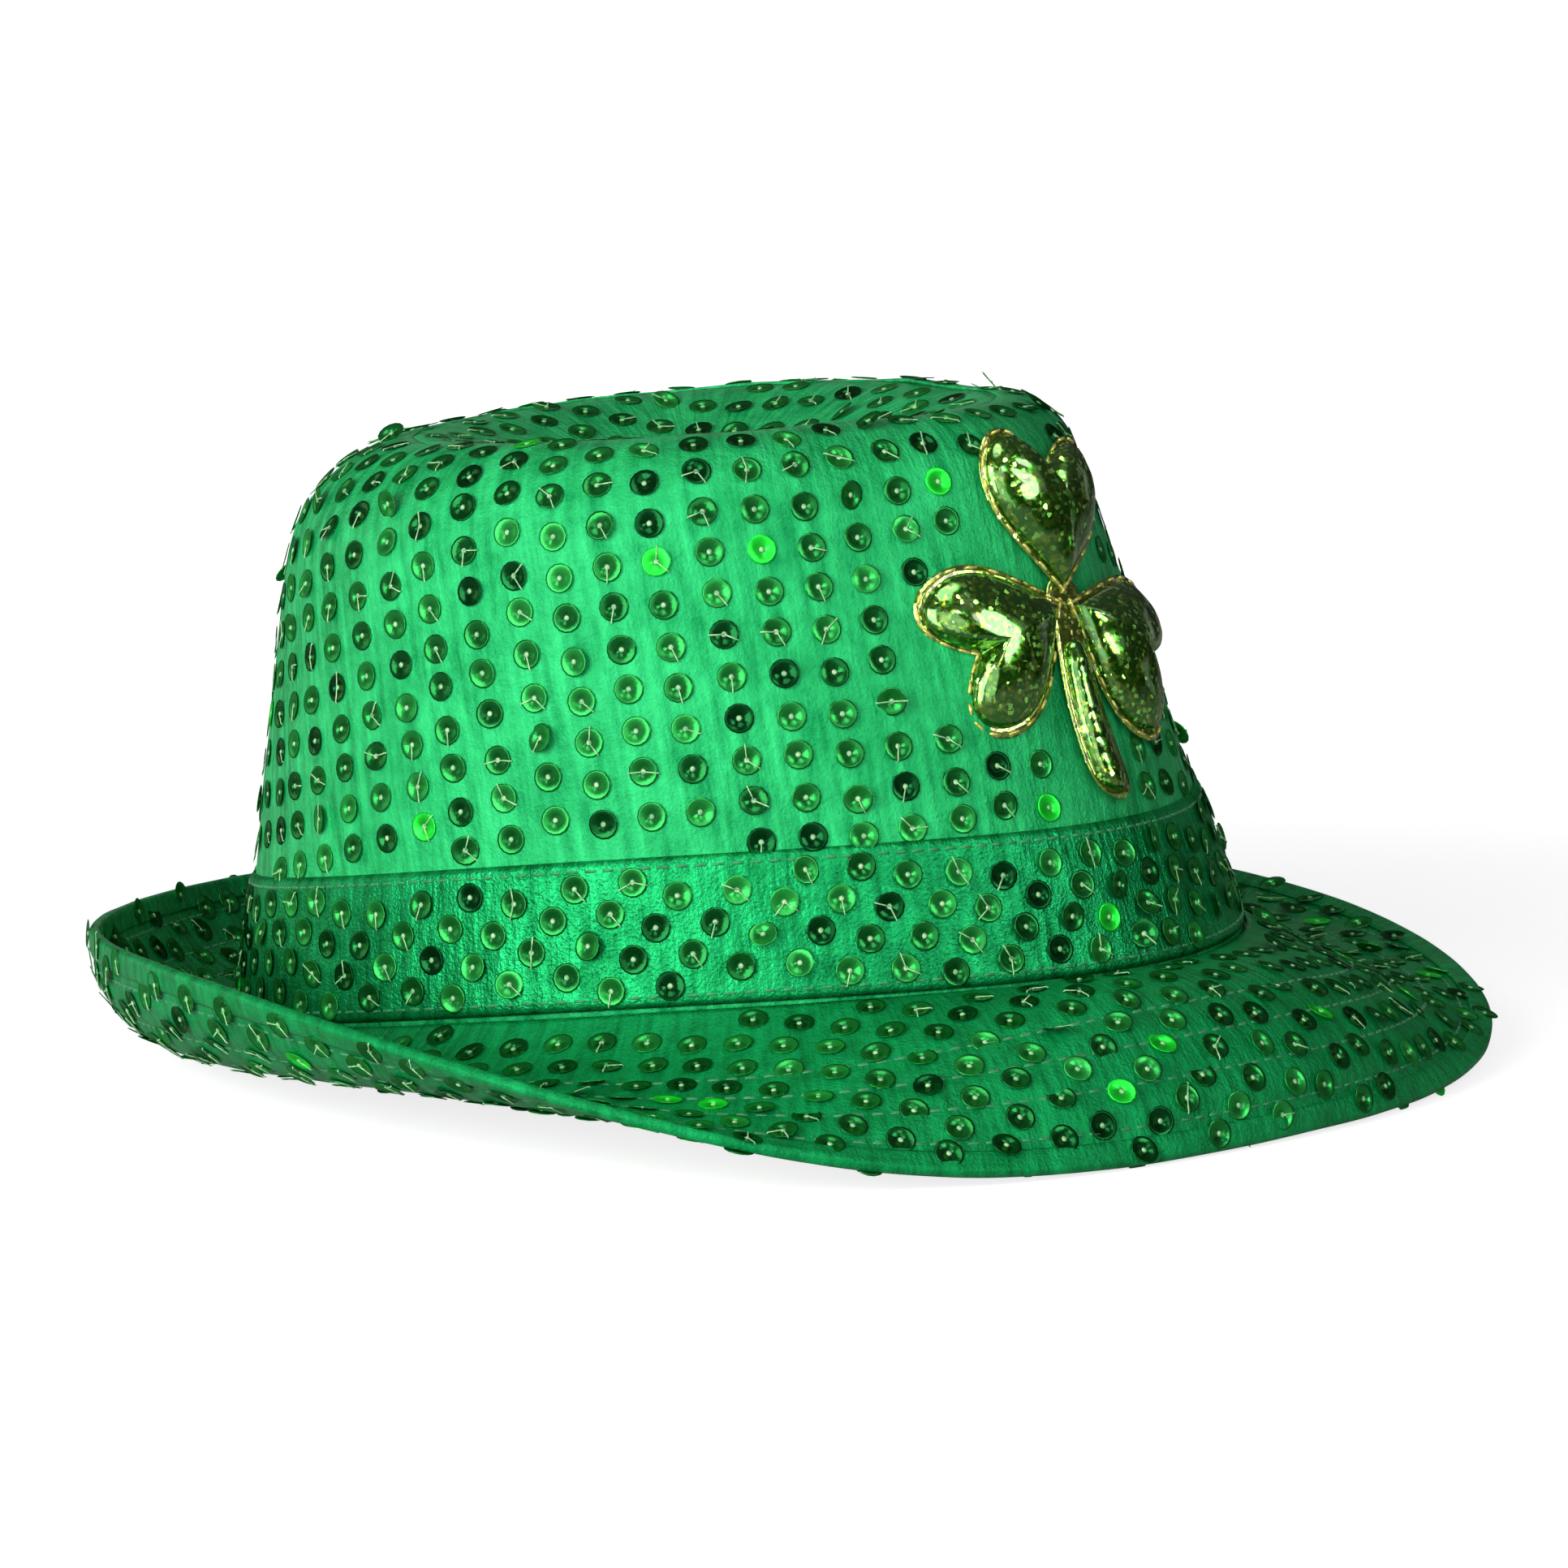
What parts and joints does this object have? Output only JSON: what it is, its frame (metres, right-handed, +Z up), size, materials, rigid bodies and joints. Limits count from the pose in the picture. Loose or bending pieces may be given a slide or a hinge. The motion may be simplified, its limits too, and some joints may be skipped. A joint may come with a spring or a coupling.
{
  "type": "sequin fedora hat",
  "caption": "Adult costume fedora in green sequin cloth, with a hat band, a snap brim rolled up at the back, and a padded foil shamrock tacked to the crown.",
  "frame": {"origin": "middle of the head opening, level with the base seam between crown and brim at its front and back", "axes": "+X to the front of the hat, +Y to the wearer's left, +Z up towards the tip of the crown"},
  "size_m": [0.2794, 0.2723, 0.1425],
  "materials": {
    "sequin_cloth": "satin cloth sewn all over with small cupped sequins",
    "band_cloth": "the same sequin cloth, folded on both edges",
    "interlining": "matte non-woven stiffener",
    "lining": "plain woven polyester",
    "sweatband": "ribbed tape",
    "thread": "polyester sewing thread",
    "gold_thread": "metallic thread",
    "foil": "padded holographic foil with fine glitter",
    "foil_back": "flat foil with a welded rim",
    "wadding": "polyester wadding",
    "label": "blank woven label"
  },
  "bodies": {
    "root": {"crown_side": "sequin_cloth", "crown_tip": "sequin_cloth", "crown_side_stiffener": "interlining", "crown_tip_stiffener": "interlining", "crown_side_lining": "lining", "crown_tip_lining": "lining", "sweatband": "sweatband", "sweatband_stitching": "thread", "seam_tape": "lining", "hat_band": "band_cloth", "band_lap": "band_cloth", "band_stitching": "thread", "brim_top_fabric": "sequin_cloth", "brim_under_fabric": "sequin_cloth", "brim_stiffener": "interlining", "brim_edge_binding": "sequin_cloth", "brim_topstitching": "thread", "shamrock_backing": "foil_back", "shamrock_leaf_top": "foil", "shamrock_leaf_left": "foil", "shamrock_leaf_right": "foil", "shamrock_stem": "foil", "padding_top": "wadding", "padding_left": "wadding", "padding_right": "wadding", "shamrock_outline_stitching": "gold_thread", "shamrock_tack_stitches": "thread", "care_label": "label"}
  },
  "joints": []
}
